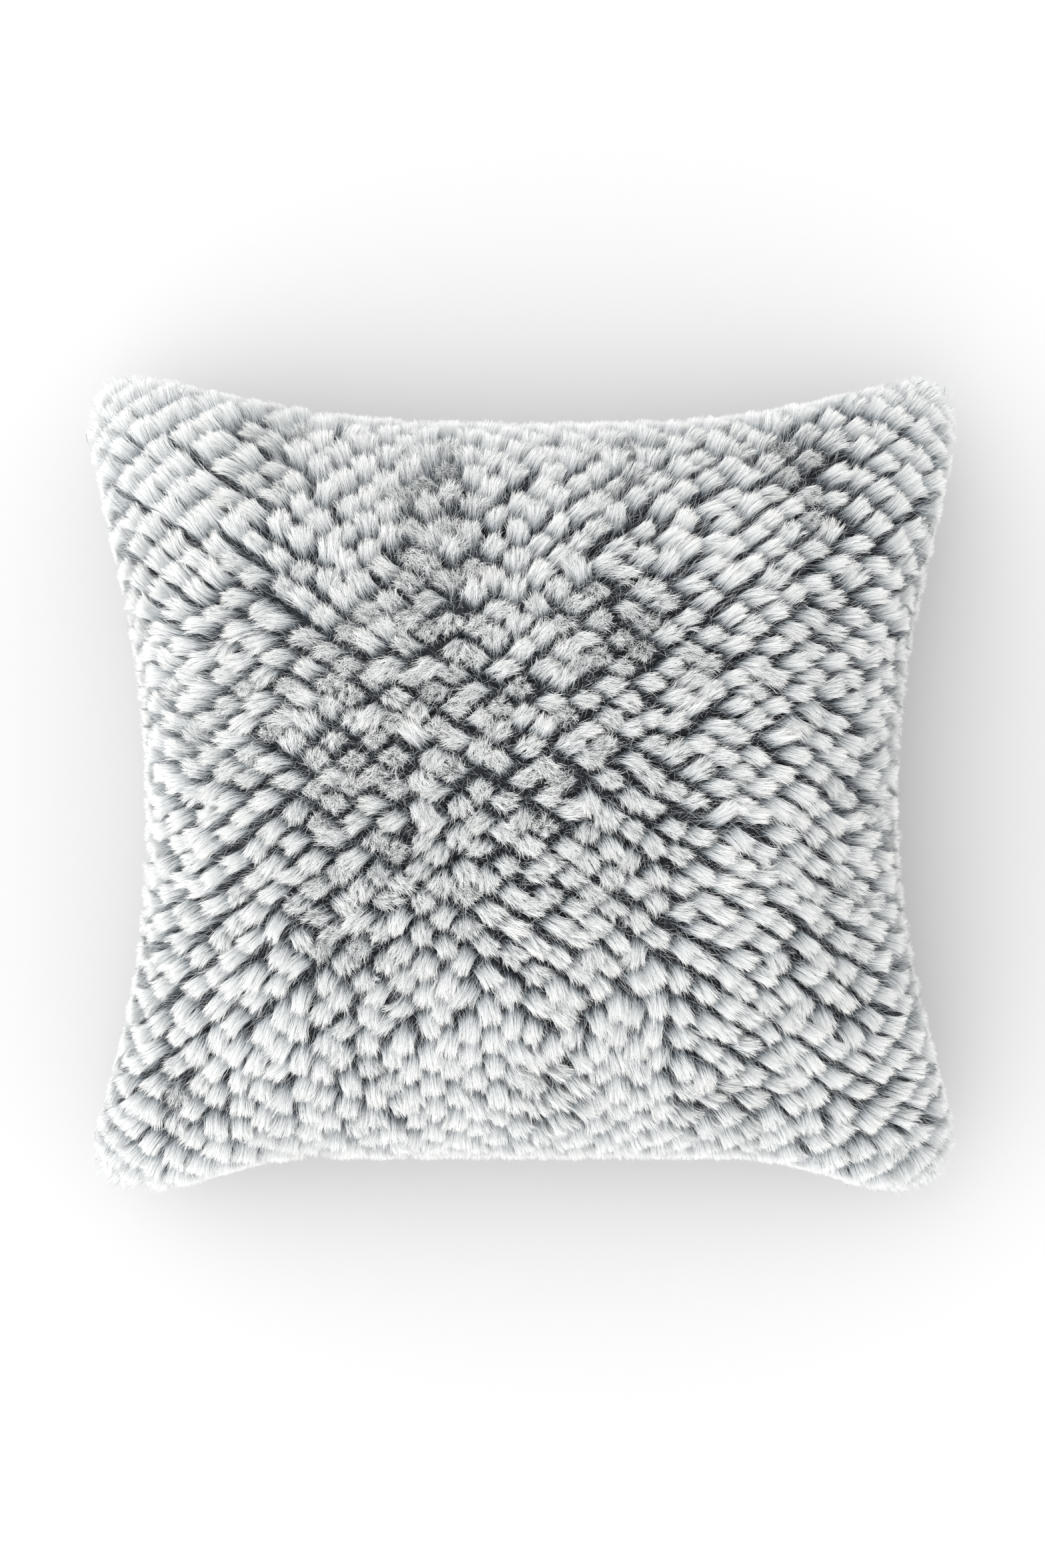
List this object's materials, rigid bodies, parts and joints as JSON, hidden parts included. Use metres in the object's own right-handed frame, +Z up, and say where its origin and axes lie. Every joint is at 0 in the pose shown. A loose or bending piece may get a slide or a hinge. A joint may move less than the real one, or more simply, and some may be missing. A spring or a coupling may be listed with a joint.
{
  "type": "throw pillow",
  "caption": "Square throw pillow with a zipped faux-fur cover in frosted grey-white tufts over a stuffed cotton insert, lying on its back.",
  "frame": {"origin": "middle of the footprint, on the surface that the pillow rests on", "axes": "+Z up, out of the front face; +Y from the zip edge to the top edge; +X to the right as the front face is seen from above"},
  "size_m": [0.4534, 0.4268, 0.165],
  "materials": {
    "fur": "long faux-fur pile, dark at the roots and ivory at the tips",
    "thread": "spun polyester sewing thread",
    "zip_tape": "woven herringbone tape",
    "zip_teeth": "nylon coil",
    "zip_metal": "plated zinc, softly polished",
    "cotton": "plain-weave cotton",
    "cotton_thread": "cotton sewing thread",
    "fibre": "hollow polyester fibre",
    "label": "blank woven satin"
  },
  "bodies": {
    "pillow": {"front_cover": "fur", "back_cover": "fur", "cover_seam_thread_left": "thread", "cover_seam_thread_right": "thread", "cover_seam_thread_top": "thread", "cover_seam_thread_zip_left": "thread", "cover_seam_thread_zip_right": "thread", "zip_tape_front": "zip_tape", "zip_tape_back": "zip_tape", "zip_stitching_front": "thread", "zip_stitching_back": "thread", "zip_teeth_front": "zip_teeth", "zip_teeth_back": "zip_teeth", "zip_top_stop_front": "zip_metal", "zip_top_stop_back": "zip_metal", "zip_bottom_stop": "zip_metal", "insert_front_panel": "cotton", "insert_back_panel": "cotton", "insert_seam_thread_left": "cotton_thread", "insert_seam_thread_right": "cotton_thread", "insert_seam_thread_top": "cotton_thread", "insert_closing_thread": "cotton_thread", "fibre_fill": "fibre", "care_label": "label", "insert_label": "label"},
    "slider": {"zip_slider": "zip_metal"},
    "pull": {"zip_pull": "zip_metal"}
  },
  "joints": [
    {"name": "zip_slide", "type": "slide", "parent": "pillow", "child": "slider", "axis": [1, 0, 0], "range_m": [-0.2, 0], "deforming": ["zip_teeth_front", "zip_teeth_back"]},
    {"name": "pull_hinge", "type": "hinge", "parent": "slider", "child": "pull", "pos_m": [0.1, -0.18197, 0.072], "axis": [0, 0, 1], "range_deg": [0, 175]}
  ]
}
